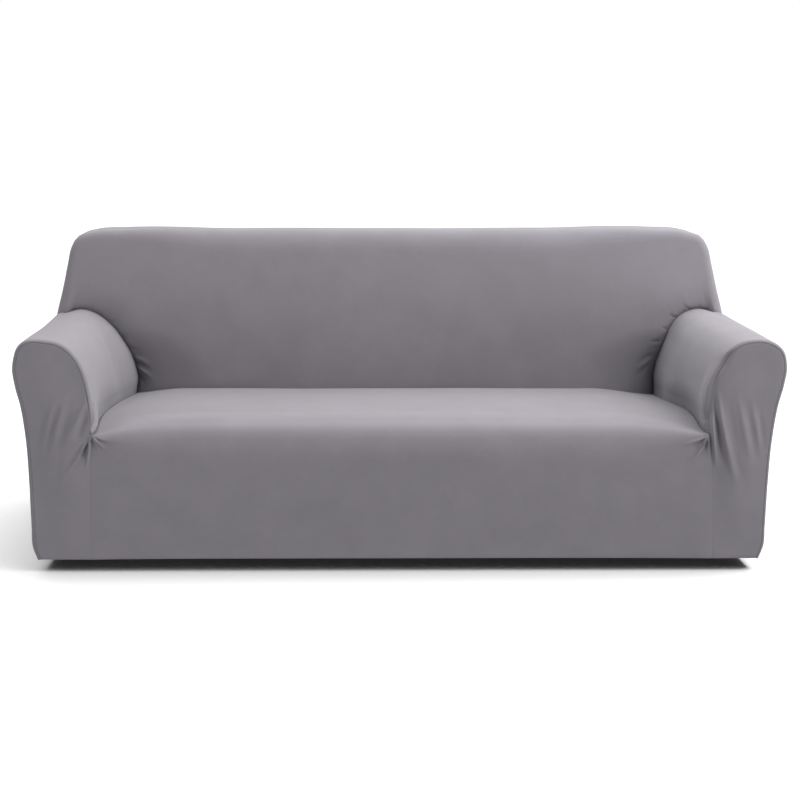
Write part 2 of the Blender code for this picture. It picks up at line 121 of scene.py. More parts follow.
# Half the outline of the back: up the side, round the corner, along the top to the middle.
BACK_OUTLINE = (
    # across, up
    (1.027, 0.000),
    (1.0385, 0.036),
    (1.0395, 0.090),
    (1.042, 0.220),
    (1.048, 0.350),
    (1.0595, 0.450),
    (1.070, 0.500),
    (1.075, 0.551),
    (1.069, 0.605),
    (1.052, 0.680),
    (1.035, 0.765),
    (1.025, 0.812),
    (1.003, 0.848),
    (0.955, 0.863),
    (0.860, 0.869),
    (0.500, 0.866),
    (0.000, 0.865),
)
# The middle of the seat panel, from the crease at the back to the hem.
SEAT_MIDDLE = (
    # along, depth, up
    (0.00, 0.590, 0.378),
    (0.33, 0.577, 0.379),
    (0.42, 0.450, 0.384),
    (0.50, 0.310, 0.389),
    (0.58, 0.170, 0.390),
    (0.67, 0.066, 0.385),
    (0.76, 0.029, 0.370),
    (0.86, 0.011, 0.348),
    (1.00, 0.002, 0.315),
    (1.30, -0.003, 0.230),
    (2.00, 0.000, 0.000),
)

# -------- folds
# Each fold runs from one point of the fitted cover to another, bowed to one side by its bend. Its height
# is below zero for a trough. Held 1, it is sharpest where it starts and dies away; held 0, it fades at both
# ends. All the sizes in these three tables are in millimetres.
FRONT_FOLDS = (
    # across, up, to across, to up, bend, width, to width, height, held
    # the left tuck: a deep pleat between two long ridges, and a fan of small creases
    (-865, 357, -962, 222, 0, 3.6, 7.5, 15, 1),
    (-863, 364, -897, 296, 0, 3, 7.5, -10, 0),
    (-865, 356, -884, 256, 2, 2.8, 6, 11, 1),
    (-862, 358, -859, 322, 0, 2.4, 4, -6, 1),
    (-859, 358, -842, 314, 3, 2.4, 4.5, 7, 1),
    (-857, 356, -836, 322, 0, 2.2, 4, -4, 1),
    (-856, 361, -822, 323, 0, 2.5, 5, 11, 1),
    (-852, 363, -790, 346, -3, 2.8, 6, 5, 1),
    (-852, 358, -800, 336, -2, 2.8, 6, -2, 1),
    # soft drapes across the left arm's front
    (-862, 490, -940, 332, 2, 6.5, 11, 7.5, 0),
    (-868, 435, -905, 345, 0, 6, 10, -5, 0),
    (-905, 472, -966, 312, 2, 8.5, 13, -4, 0),
    (-922, 495, -986, 285, 2, 7.5, 11, 5.2, 0),
    (-950, 463, -995, 315, 2, 7, 10, -3.8, 0),
    (-955, 490, -1008, 290, 2, 7.5, 11, 4.2, 0),
    (-985, 450, -1016, 330, 0, 7, 9, -2.6, 0),
    (-940, 330, -975, 225, 2, 11, 15, -2.6, 0),
    # the right tuck: a deep fold down the arm's front, between two ridges
    (866, 470, 892, 262, -2.6, 3.8, 6, 9, 0),
    (871, 482, 913, 272, 0, 5, 7.5, -10.5, 0),
    (880, 500, 950, 216, -6, 6.5, 11.5, 9, 0),
    (910, 480, 956, 280, -3, 8, 12, -2.2, 0),
    (934, 492, 988, 270, 0, 7.5, 11, 3.7, 0),
    (958, 478, 1002, 290, 1, 8, 11, -2, 0),
    (972, 482, 1014, 290, 2.2, 7, 9.5, 2.6, 0),
    (998, 455, 1022, 315, 1, 7, 9, -2, 0),
    (926, 330, 974, 180, 6, 13, 18, -2.6, 0),
    (869, 366, 880, 266, 0, 2.4, 4, -5, 1),
    (863, 362, 867, 285, 0, 2.2, 4, 6, 1),
    (861, 364, 798, 283, 8, 2.6, 6, 14, 1),
    (862, 352, 826, 290, 6, 3, 6, -5, 1),
    (859, 361, 778, 334, 3, 2.8, 7, 6.5, 1),
    (855, 355, 800, 325, 3, 3, 7, -2.6, 1),
)
ARM_FOLDS = {
    # depth, up, to depth, to up, bend, width, to width, height, held
    "left": (
        (-434, 376, -310, 462, -4, 3, 7.5, 15, 1),
        (-432, 384, -376, 472, 0, 3, 7, -13, 1),
        (-434, 371, -290, 396, 4, 2.6, 5.5, 10, 1),
        (-432, 374, -350, 412, 0, 2.6, 5, -4.5, 1),
        (-430, 388, -408, 498, 0, 3, 7, 7, 1),
    ),
    "right": (
        (-434, 384, -370, 452, 4, 3, 6, 8, 1),
        (-433, 382, -340, 440, 4, 3.2, 7, -7, 1),
        (-433, 380, -300, 412, 4, 3.2, 8, 5, 1),
        (-434, 392, -416, 470, 0, 3, 6, -6.5, 1),
        (-432, 400, -398, 470, 0, 3, 6, 4.5, 1),
    ),
}
BACK_FOLDS = (
    # across, up, to across, to up, bend, width, to width, height, held
    # the lower corners, where the back is pulled in behind the arms
    (-840, 510, -800, 492, 2, 4, 7, -4.8, 1),
    (-824, 478, -764, 448, 4, 4.2, 8.5, 6.8, 1),
    (-820, 462, -758, 424, 3, 5, 10, -8.5, 1),
    (-818, 445, -750, 398, 4, 4.2, 9, 7.5, 1),
    (-818, 425, -775, 380, 0, 4.5, 8, -7, 1),
    (842, 482, 786, 448, -4, 6, 10, -5, 1),
    (838, 468, 790, 425, -3, 5.5, 9.5, 2.8, 1),
    (832, 445, 780, 402, -3, 6, 10, -4.5, 1),
    # puckers along the seams round the arms' tops
    (-962, 632, -942, 650, 0, 3, 4, -3, 1),
    (-900, 590, -862, 598, 0, 3.5, 6, -3.8, 1),
    (-868, 545, -832, 546, 0, 3.8, 6, -4.2, 1),
    (996, 634, 984, 648, 0, 3, 4.5, -2.2, 1),
    (966, 628, 928, 650, 3, 3.4, 5.5, -6, 1),
    (950, 621, 926, 636, 0, 3, 4.5, -4.2, 1),
    (924, 604, 884, 616, 3, 3.4, 5.8, -6.2, 1),
    (911, 593, 892, 598, 0, 3, 4, -3.6, 1),
    (888, 566, 862, 573, 0, 3.4, 5.5, -4.6, 1),
    (866, 530, 822, 530, 3, 3.8, 6.5, -5, 1),
    (856, 508, 834, 502, 0, 3.6, 6, -2.4, 1),
)

# -------- how finely the cloth is divided
FINE_STEP = 0.0027     # round the tucks and their folds
NARROW_STEP = 0.0042
CLOTH_STEP = 0.0062
PLAIN_STEP = 0.0100
BY_SIDE = 0.88         # place across the seat and the back at which the columns by their sides start
SEAM_STEPS = np.array([0, 0.0007, 0.0016, 0.0028, 0.0043, 0.0062, 0.0085])
DENSE = 1500           # points read along a line to measure it
HEM_ROWS = 6


def line_lengths(points):
    """The length along a line of points up to each of them."""
    steps = np.linalg.norm(np.diff(points, axis=0), axis=-1)
    return np.concatenate([np.zeros_like(steps[:1]), np.cumsum(steps, axis=0)])


def smooth(table, places):
    """A smooth curve through a table's points, read at places that its first column gives."""
    table = np.array(table)
    points = table[:, 1:]
    knots = line_lengths(points)
    at = np.interp(places, table[:, 0], knots)
    slopes = np.gradient(points, knots, axis=0)
    row = np.clip(np.searchsorted(knots, at, side="right") - 1, 0, len(knots) - 2)
    span = (knots[row + 1] - knots[row])[..., None]
    part = (at - knots[row])[..., None] / span
    near = (1 + 2 * part) * (1 - part) ** 2 * points[row] + part * (1 - part) ** 2 * span * slopes[row]
    return near + part**2 * (3 - 2 * part) * points[row + 1] + part**2 * (part - 1) * span * slopes[row + 1]


def heading(table, places):
    """The unit direction of the curve through a table's points."""
    run = smooth(table, places + STEP) - smooth(table, places - STEP)
    return run / np.linalg.norm(run, axis=-1, keepdims=True)


OUTLINE = np.column_stack([line_lengths(np.array(BACK_OUTLINE)), BACK_OUTLINE])
OUTLINE_LENGTH = OUTLINE[-1, 0]
SIDE_END = OUTLINE[9, 0]       # lengths along it below the corner and past it
CORNER_END = OUTLINE[13, 0]


def vectors(*parts):
    return np.stack(parts, axis=-1)


def mix(start, end, part):
    return start + (end - start) * part


def ease(part):
    """A part from 0 to 1 that sets off and arrives level."""
    part = np.clip(part, 0, 1)
    return part**2 * (3 - 2 * part)


def quarter(part):
    """A part from 0 to 1 as an angle from 0 to a right angle."""
    return np.clip(part, 0, 1) * np.pi / 2


# -------- the panels' surfaces
def outline(length):
    """The back's half outline at a length along it, and the way out from it."""
    run = heading(OUTLINE, length)
    return smooth(OUTLINE, length), vectors(run[..., 1], -run[..., 0])


def side_length(height):
    """How far along the outline its side reaches a height."""
    lengths = np.linspace(0, SIDE_END, 400)
    return np.interp(height, smooth(OUTLINE, lengths)[:, 1], lengths)


def face_depth(across, up):
    """Depth of the inside back, which leans and bulges a little."""
    rise = np.clip((up - FACE_FOOT_HEIGHT) / FACE_HEIGHT, 0, 1.2)
    bulge = FACE_BULGE * (1 - (across / HALF_WIDTH) ** 4) * np.sin(np.pi * rise)
    return FACE_FOOT + FACE_LEAN * (up - FACE_FOOT_HEIGHT) - bulge


def back_band(across, turn):
    """The band round the back's edge, from its face (0) over the edge to the rear plane (1)."""
    start = side_length(SHOULDER_HEIGHT - SHOULDER_DROP * np.clip(turn, 0, 1) ** 1.5)
    length = start + (OUTLINE_LENGTH - start) * (1 - np.abs(across))
    point, out = outline(length)
    past = ease((length - CORNER_END) / EDGE_CHANGE)
    edge = mix(SIDE_EDGE, TOP_EDGE, past)
    rear_edge = mix(SIDE_REAR_EDGE, TOP_REAR_EDGE, past)
    face = point - edge[..., None] * out
    front_turn, rear_turn = quarter(turn / FRONT_PART), quarter((turn - REAR_PART) / (1 - REAR_PART))
    passed = face + (edge * np.sin(front_turn))[..., None] * out
    gained = face_depth(point[..., 0], point[..., 1]) - face_depth(face[..., 0], face[..., 1])
    turned_back = (1 - np.cos(front_turn)) ** EDGE_SOFTNESS
    depth = face_depth(passed[..., 0], passed[..., 1]) + (edge - gained) * turned_back
    level = np.clip((turn - FRONT_PART) / (REAR_PART - FRONT_PART), 0, 1)
    depth = mix(depth, REAR - rear_edge, level) + rear_edge * np.sin(rear_turn)
    inset = edge * (1 - np.sin(front_turn)) + rear_edge * (1 - np.cos(rear_turn))
    flat = point - inset[..., None] * out
    return vectors(np.sign(across) * flat[..., 0], depth, flat[..., 1])


SHOULDER = back_band(np.array(1.0), np.array(0.0))
ARM_SEAM = JUNCTION + ((2.0, SHOULDER[0], SHOULDER[2]),)


def side_ease(across):
    """0 in the middle of the seat, 1 at its sides, level where it ends."""
    return 1 - (1 - np.abs(across) ** 12) ** 2


def back_crease(across):
    """Bottom of the crease between the seat and the inside back."""
    half = JUNCTION[0][1]
    up = mix(SEAT_MIDDLE[0][2], JUNCTION[0][2], side_ease(across)) - TUCK
    return vectors(across * half, face_depth(across * half, up), up)


def junction(place):
    """Where an arm ends at the back: place 0 to 2 on its face, to 3 over its edge, to 4 down the rear."""
    flat = smooth(ARM_SEAM, np.clip(place, 0, 2))
    up = flat[..., 1] - TUCK * np.clip(1 - place / TUCK_HEIGHT, 0, 1)
    on_face = vectors(flat[..., 0], face_depth(flat[..., 0], up), up)
    on_band = back_band(np.ones_like(place), np.clip(place - 2, 0, 1))
    down = np.clip(4 - place, 0, 1) * (SHOULDER_HEIGHT - SHOULDER_DROP)
    side, out = outline(side_length(down))
    side = side - SIDE_REAR_EDGE * out
    on_rear = vectors(side[..., 0], np.full_like(place, REAR), side[..., 1])
    on_back = np.where((place > 2)[..., None], on_band, on_face)
    return np.where((place > 3)[..., None], on_rear, on_back)


def arm_end(place):
    """The arm's surface just before it ends at the junction or turns on to the rear plane."""
    end = junction(place)
    side, _ = outline(side_length(end[..., 2]))
    turned = np.clip((place - REAR_START) / (3 - REAR_START), 0, 1)
    across = mix(end[..., 0], side[..., 0], turned)
    return vectors(across, end[..., 1] - SIDE_REAR_EDGE, end[..., 2])


def hem_turn(place):
    """Inset and height of the cloth turned under at the hem, for places 0 to 1."""
    part = np.clip(place, 0, 1)
    angle = quarter(part / 0.5)
    inset = HEM_ROUND * (1 - np.cos(angle)) + (HEM_TURN - HEM_ROUND) * np.clip(2 * part - 1, 0, 1)
    return inset, -HEM_ROUND * np.sin(angle)


def arm_point(place, depth):
    """An arm's surface: place round it (0 to 4, hem to 5), depth from its front edge (0) to its end (3)."""
    hem_inset, hem_drop = hem_turn(place - 4)
    wall = np.minimum(place, 4)
    run = heading(ARM_FRONT, wall)
    out = vectors(-run[..., 1], run[..., 0])
    front_turn = quarter(depth)
    inset = FRONT_ROUND - (FRONT_ROUND - hem_inset) * np.sin(front_turn)
    start = smooth(ARM_FRONT, wall) - inset[..., None] * out
    start_depth = FRONT_ROUND - (FRONT_ROUND - hem_inset) * np.cos(front_turn)
    end, last = junction(wall), arm_end(wall)
    along = np.clip(depth - 1, 0, 1)
    bend = along ** np.clip(3 - wall, 1, 3)
    rear_turn = quarter(depth - 2)
    across = mix(start[..., 0], last[..., 0] - hem_inset, bend)
    across = mix(across, end[..., 0], np.where(depth > 2, 1 - np.cos(rear_turn), 0))
    away = mix(start_depth, last[..., 1], along)
    away = mix(away, end[..., 1] - hem_inset, np.where(depth > 2, np.sin(rear_turn), 0))
    level = smooth(ARM_SEAM, np.clip(wall, 0, 2))[..., 1]
    up = mix(start[..., 1], np.where(wall < 2, level, last[..., 2]), bend) + hem_drop
    swell = np.sin(np.pi * along) * np.clip(1 - wall, 0, 1) ** 2
    across, up = across + SEAT_SPREAD * swell, up + SEAT_CROWN * swell
    pinch = np.clip(1 - wall / PINCH_HEIGHT, 0, 1) ** 2 * np.sin(front_turn) * np.exp(-along / PINCH_LENGTH)
    across = across + PINCH * pinch
    up = up - TUCK * ease(away / TUCK_START) * np.clip(1 - wall / TUCK_HEIGHT, 0, 1)
    return vectors(across, away, up)


def turn_down(distance, reach):
    """The seat's edge as it turns down into a crease, for a distance from it, within its reach."""
    return 1 - np.sqrt(1 - np.clip(1 - distance / reach, 0, 1) ** 2)


def seat_point(across, along):
    """Seat and front: across -1 to 1, along from the crease (0) to the edge (1), hem (2) and under (3)."""
    hem_inset, hem_drop = hem_turn(along - 2)
    wall = np.minimum(along, 2)
    side = arm_point(np.zeros_like(wall), 3 - 3 * np.clip(wall, 0, 1))
    level = side[..., 2] + TUCK * ease(side[..., 1] / TUCK_START)
    down = np.clip(wall - 1, 0, 1)
    reach = np.where(wall > 1, mix(side[..., 0], SEAM_FOOT, down), side[..., 0]) - SEAM_GAP
    level = np.where(wall > 1, side[..., 2] * (1 - down), level)
    middle = smooth(SEAT_MIDDLE, wall)
    sideways = side_ease(across)
    away = mix(middle[..., 0], side[..., 1], sideways)
    rear = back_crease(across)
    away = mix(away, rear[..., 1] - SEAM_GAP, np.clip(1 - 3 * wall, 0, 1))
    up = mix(middle[..., 1], level, sideways) - SEAM_GAP
    by_side = turn_down((1 - np.abs(across)) * reach, SIDE_ROUND) * ease(away / TUCK_START)
    by_back = turn_down(rear[..., 1] - SEAM_GAP - away, TUCK_ROUND)
    up = up - TUCK * (1 - (1 - by_side) * (1 - by_back))
    return vectors(across * reach, away + hem_inset, up + hem_drop)


def inner_back_point(across, place):
    """Inside back: across -1 to 1, place as in junction()."""
    foot, edge = back_crease(across), back_band(across, np.zeros_like(across))
    side, low, high = junction(np.minimum(place, 2)), junction(0 * place), junction(0 * place + 2)
    rise = np.minimum(place / 2, 1)
    flat_x = across * side[..., 0] + (1 - rise) * (foot[..., 0] - across * low[..., 0])
    flat_x = flat_x + rise * (edge[..., 0] - across * high[..., 0])
    flat_z = side[..., 2] + (1 - rise) * (foot[..., 2] - low[..., 2]) + rise * (edge[..., 2] - high[..., 2])
    on_face = vectors(flat_x, face_depth(flat_x, flat_z), flat_z)
    return np.where((place > 2)[..., None], back_band(across, np.clip(place - 2, 0, 1)), on_face)


# -------- dividing a surface into rows and columns
def steps_between(length, step, seam_first, seam_last, bunch=0.0):
    """Distances from 0 to a length, a step apart, bunched to both ends, and close together by a seam."""
    head = SEAM_STEPS if seam_first else SEAM_STEPS[:1]
    tail = SEAM_STEPS if seam_last else SEAM_STEPS[:1]
    count = max(2, round((length - head[-1] - tail[-1]) / step))
    even = np.linspace(0, 1, count + 1)
    even = even - bunch * np.sin(2 * np.pi * even) / (2 * np.pi)
    middle = mix(head[-1], length - tail[-1], even)
    return np.concatenate([head[:-1], middle, length - tail[:-1][::-1]])


def spaced(line, start, end, step, seams=(False, False), bunch=0.0):
    """Places from start to end at which a line's points are a step apart."""
    dense = np.linspace(start, end, DENSE)
    lengths = line_lengths(line(dense))
    return np.interp(steps_between(lengths[-1], step, *seams, bunch), lengths, dense)


def row_of(surface, second):
    """The line of a surface on which its second coordinate stays the same."""
    return lambda first: surface(first, np.full_like(first, second))


def column_of(surface, first):
    """The line of a surface on which its first coordinate stays the same."""
    return lambda second: surface(np.full_like(second, first), second)


def both_sides(line, inner, outer_step, inner_step):
    """Places from -1 to 1, close together from an inner place out to each side."""
    outer = spaced(line, inner, 1.0, outer_step, (False, True))
    middle = spaced(line, -inner, inner, inner_step)
    return np.concatenate([-outer[::-1], middle[1:-1], outer])


def resampled(points, distances):
    """A dense line of points, read at distances along it that are given as parts of its length."""
    lengths = line_lengths(points)
    at = distances * lengths[-1]
    return np.stack([np.interp(at, lengths, points[:, axis]) for axis in range(3)], axis=-1)


def hem_places(start):
    """Places round the hem, past the foot of a wall."""
    return start + np.linspace(0, 1, HEM_ROWS + 1)[1:]


def hem_lift(across, away):
    """Rise of the hem between its corners, for distances across the cover and behind its front."""
    return HEM_LIFT * np.clip(1 - (across / HALF_WIDTH * (2 * away / REAR - 1)) ** 6, 0, 1)


def stand(points):
    """Moves a panel's points into the finished cover's frame, which has the hem's corners at its foot."""
    lift = hem_lift(points[..., 0], points[..., 1]) - HEM_BELOW
    points[..., 2] += HEM_ROUND + HEM_BELOW + lift * np.clip(1 - points[..., 2] / SEAT_SIDE, 0, 1)
    points[..., 1] -= MIDDLE
    return points


def mirrored(points):
    return points * np.array([-1, 1, 1])


# Where the fitted cover sits unevenly: shifts of the cloth round a centre, fading out at a reach.
SHIFTS = (
    # centre, reach, shift
    ((-0.850, 0.190, 0.500), (0.14, 0.24, 0.17), (0.012, 0.0, 0.0)),
    ((-0.858, -0.220, 0.370), (0.10, 0.24, 0.10), (-0.008, 0.0, 0.003)),
    ((-0.885, -0.440, 0.000), (0.13, 0.10, 0.30), (0.008, 0.0, 0.0)),
    ((-0.830, 0.180, 0.400), (0.27, 0.30, 0.18), (0.0, 0.026, 0.0)),
    ((0.845, 0.180, 0.470), (0.15, 0.26, 0.18), (0.022, 0.0, 0.0)),
    ((0.850, 0.200, 0.400), (0.15, 0.24, 0.13), (0.014, 0.0, 0.0)),
    ((0.858, -0.200, 0.370), (0.10, 0.26, 0.10), (0.014, 0.0, 0.008)),
    ((0.880, -0.440, 0.180), (0.14, 0.10, 0.40), (0.011, 0.0, 0.0)),
    ((0.860, -0.440, 0.470), (0.10, 0.12, 0.12), (-0.012, 0.0, 0.0)),
    ((0.835, 0.180, 0.395), (0.27, 0.30, 0.18), (0.0, 0.030, 0.0)),
    ((0.850, 0.190, 0.375), (0.22, 0.22, 0.09), (0.016, 0.0, -0.022)),
    ((-0.840, 0.180, 0.375), (0.20, 0.22, 0.09), (0.0, 0.0, -0.012)),
    ((-1.030, -0.420, 0.617), (0.055, 0.50, 0.045), (-0.006, 0.0, 0.006)),
)


def shifted(points):
    """Moves cloth by the shifts, the same for every panel, so that seams stay closed."""
    moved = points.copy()
    for centre, reach, shift in SHIFTS:
        away = ((points - np.array(centre)) / np.array(reach)) ** 2
        moved += (np.clip(1 - away.sum(axis=-1), 0, 1) ** 2)[..., None] * np.array(shift)
    return moved


# -------- seams, folds and the set of the cloth
BACK = np.array([0.0, 1.0, 0.0])
DOWN = np.array([0.0, 0.0, -1.0])
SEAM_DEPTH = 0.0015        # how far a sewn edge is drawn in, and over what width
SEAM_WIDTH = 0.0018
SEAM_FADE = 1.3            # how bluntly that dies away from the stitches
FRONT_SEAM_DEPTH = 0.0005  # of the seam down the front, which hardly shows
FRONT_SEAM_WIDTH = 0.0022
SOFT_SEAM_DEPTH = 0.0130   # of the right arm's inner edge, which the tuck pulls round
SOFT_SEAM_WIDTH = 0.0280
SOFT_PULL = np.array([0.5, 0.86, 0.0])
CREASE_DEPTH = 0.0080      # how far the back is drawn in along the arms' seams
CREASE_WIDTH = 0.0065
CREASE_SET = 0.014         # how far the back's own padding falls away towards those seams
CREASE_SET_WIDTH = 0.045
LOW_SET_LEFT, LOW_SET_RIGHT = 0.012, 0.026  # how much further it falls away at the seat's rear corners
LOW_SET_FROM, LOW_SET_TO = 0.54, 0.41       # heights between which that sets in
GROOVE_LEFT, GROOVE_RIGHT = 0.004, 0.013    # the groove between the seat and an arm at those corners
GROOVE_WIDTH = 0.011
GROOVE_FROM, GROOVE_TO = -0.28, 0.14        # how far back it sets in
HEM_LINE = 0.0075          # height of the hem's stitching above its fold
HEM_LINE_DEPTH = 0.0010
HEM_LINE_WIDTH = 0.0022
HEM_RIPPLE = 0.35          # part of that depth by which the gathers change it
SEAT_EDGE, SEAT_EDGE_FADE = -0.38, 0.04     # the front's folds end this far back, fading over this much
BACK_FRONT, BACK_FRONT_FADE = 0.30, 0.03    # and the back's
SLACK_WIDE, SLACK_FINE = 0.0016, 0.0006     # heights of a large panel's unevenness
SLACK_FADE = 0.04          # how far from a seam it is full
ARM_MIDDLE = 0.93          # the arms' folds lie on their inner sides, as far out as this
FOLDS_END, FOLDS_FADE = 0.56, 0.05          # and end at this height, fading over this much
HELD_START = 0.35          # strength of a held fold at the stitches, past which it rises to full
HELD_RISE = 0.2            # part of its length over which it does
LOOSE_ROUND = 1.3          # how gently a fold sets in that fades at both ends


def from_edge(grid, edge):
    """A view of a grid with one of its edges as the first row."""
    turned = grid.swapaxes(0, 1) if edge in ("left", "right") else grid
    return turned[::-1] if edge in ("last", "right") else turned


def fading(distance, width):
    """How much of a seam's pull is left at a distance from its stitches."""
    return np.exp(-((distance / width) ** SEAM_FADE))


def draw_in(points, edge, pull, depth, width):
    """Draws an edge of a panel inwards along its seam, most at the stitches."""
    view = from_edge(points, edge)
    near = fading(line_lengths(view), width)[..., None]
    view += near * np.broadcast_to(depth, view.shape[1])[:, None] * np.asarray(pull, float)


def crease_set(line):
    """How far the back's padding falls away at the points of a seam between the back and an arm."""
    low = ease((LOW_SET_FROM - line[:, 2]) / (LOW_SET_FROM - LOW_SET_TO))
    return CREASE_SET + low * np.where(line[:, 0] > 0, LOW_SET_RIGHT, LOW_SET_LEFT)


def groove(line):
    """How deep the groove between the seat and an arm is at the points of a line."""
    back = ease((line[:, 1] - GROOVE_FROM) / (GROOVE_TO - GROOVE_FROM))
    return back * np.where(line[:, 0] > 0, GROOVE_RIGHT, GROOVE_LEFT)


def near_ends(line, width):
    """How much of a pull at its two ends reaches each point of a line."""
    lengths = line_lengths(line)
    return fading(lengths, width) + fading(lengths[-1] - lengths, width)


def draw_in_most(points, pulls):
    """Draws several edges in. Where they meet, the stronger pull counts, so that corners stay joined."""
    strongest = np.zeros(points.shape[:2])
    moves = np.zeros_like(points)
    for edge, pull, depth, width in pulls:
        moved = points.copy()
        draw_in(moved, edge, pull, depth, width)
        moved -= points
        strength = np.linalg.norm(moved, axis=-1)
        stronger = strength > strongest
        moves[stronger] = moved[stronger]
        strongest = np.maximum(strongest, strength)
    points += moves


def outward(points, way):
    """Unit directions out of a grid of points, on the side that a rough direction gives."""
    out = np.cross(np.gradient(points, axis=1), np.gradient(points, axis=0))
    out /= np.linalg.norm(out, axis=-1, keepdims=True) + 1e-12
    return out * np.sign((out @ np.array(way, float)).sum())


def fold_height(flat, folds):
    """Height of a set of folds at flat points, two coordinates each."""
    height = np.zeros(flat.shape[:-1])
    for *sizes, held in folds:
        x, y, to_x, to_y, bend, width, to_width, tall = np.array(sizes) / 1000
        start, run = np.array([x, y]), np.array([to_x - x, to_y - y])
        length = np.hypot(*run)
        run /= length
        off = flat - start
        along = off @ run / length
        part = np.clip(along, 0, 1)
        beside = off @ np.array([-run[1], run[0]]) - 4 * bend * part * (1 - part)
        beyond = (along - part) * length
        wide = mix(width, to_width, part)
        if held:
            strength = (1 - ease(part)) * mix(HELD_START, 1, ease(part / HELD_RISE))
        else:
            strength = np.sin(np.pi * part) ** LOOSE_ROUND
        strength = np.where(along < 0, HELD_START * held, strength)
        height += tall * strength * np.exp(-(beside**2 + beyond**2) / wide**2)
    return height


def slack(points):
    """The slight unevenness of a large panel that isn't stretched quite taut, gone at its seams."""
    x, y, z = np.moveaxis(points, -1, 0)
    wide = np.sin(5.1 * x + 2.3 * z + 0.7) * np.sin(4.3 * z - 1.7 * x + 3.9 * y + 1.1)
    fine = np.sin(13.0 * x - 7.0 * z + 2.0) * np.sin(11.0 * z + 5.0 * x + 9.0 * y + 0.4)
    near, _ = seam_distance(points, ("first", "last", "left", "right"))
    return (SLACK_WIDE * wide + SLACK_FINE * fine) * ease(near / SLACK_FADE)


def lay(points, way, height):
    """Raises a panel's points along their own outward directions."""
    points += height[..., None] * outward(points, way)
    return points


# -------- making a panel's mesh
def seam_distance(points, edges):
    """How far each point of a grid is from the nearest of some of its edges, and how far along that edge."""
    near = np.full(points.shape[:2], 1.0)
    run = np.zeros(points.shape[:2])
    for edge in edges:
        view = from_edge(points, edge)
        gone = line_lengths(view)
        along = np.broadcast_to(line_lengths(view[0])[None, :], gone.shape)
        closer = gone < from_edge(near, edge)
        from_edge(run, edge)[closer] = along[closer]
        from_edge(near, edge)[closer] = gone[closer]
    return near, run


def grid_mesh(name, across, along, finish):
    """A flat mesh of so many faces across and along."""
    form = bmesh.new()
    bmesh.ops.create_grid(form, x_segments=across, y_segments=along, size=1)
    mesh = bpy.data.meshes.new(name)
    form.to_mesh(mesh)
    form.free()
    mesh.materials.append(finish)
    return mesh


def placed(name, data):
    """A new object of the scene."""
    made = bpy.data.objects.new(name, data)
    bpy.context.scene.collection.objects.link(made)
    return made


def cloth_panel(name, points, way, finish, seams, shows=1.0):
    """A panel's sheet: its outer face is a grid of points, and its thickness lies behind them.

    Where shows is 0 instead of 1, the nearest seam is too soft to be seen as a line, and its painted seam
    shade and gathers are left off.
    """
    rows, columns = points.shape[:2]
    mesh = grid_mesh(name, columns - 1, rows - 1, finish)
    mesh.vertices.foreach_set("co", points.reshape(-1).astype(np.float32))
    mesh.update()
    out = outward(points, way)
    faces = np.zeros(len(mesh.polygons) * 3, np.float32)
    mesh.polygons.foreach_get("normal", faces)
    middle = out[:-1, :-1].reshape(-1, 3)
    if (faces.reshape(-1, 3) * middle).sum() < 0:
        mesh.flip_normals()
    corner = np.zeros(len(mesh.loops), np.int32)
    mesh.loops.foreach_get("vertex_index", corner)
    across = line_lengths(points[rows // 2])
    along = line_lengths(points[:, columns // 2])
    metres = np.stack(np.meshgrid(across, along), axis=-1).reshape(-1, 2)
    cloth_map = mesh.uv_layers.new(name="cloth")
    cloth_map.uv.foreach_set("vector", metres[corner].reshape(-1).astype(np.float32))
    near, run = seam_distance(points, seams)
    near = near + SOFT_SEAM_WIDTH * (1 - shows)
    for label, values in (("seam_near", near), ("seam_run", run)):
        layer = mesh.attributes.new(label, "FLOAT", "POINT")
        layer.data.foreach_set("value", values.reshape(-1).astype(np.float32))
    mesh.shade_smooth()
    panel = placed(name, mesh)
    wall = panel.modifiers.new("thickness", "SOLIDIFY")
    wall.thickness = SHEET
    wall.offset = -1
    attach(panel, "root")
    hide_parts(name.replace("_cloth", ""))


# -------- the panels
ABOVE_FOOT = ("left", "right", "last")     # the sewn edges of a panel whose first edge is its foot
FULL_FROM = 0.4                # place up an arm's front seam from which it is drawn in fully
SOFT_END, SOFT_FADE = 1.1, 0.35    # place at which the right arm's soft edge ends, and places over which
FACE_END, FACE_FADE = 2.05, 0.15   # the same for the seam between an arm and the back's face
REAR_FROM = 2.75               # place from which that seam turns on to the rear


def hem_stitching(points):
    """The shallow line along which the hem is stitched, with its slight gathering."""
    x, y, z = np.moveaxis(points, -1, 0)
    line = np.exp(-(((z - hem_lift(x, y + MIDDLE) - HEM_LINE) / HEM_LINE_WIDTH) ** 2))
    ripple = 1 + HEM_RIPPLE * np.sin(310 * x) * np.sin(67 * x + 290 * y)
    return -HEM_LINE_DEPTH * line * ripple


def face_part(places):
    """How far the places of the back's seam with an arm lie on its face, 1, and not on its edge, 0."""
    return ease((FACE_END - places) / FACE_FADE)


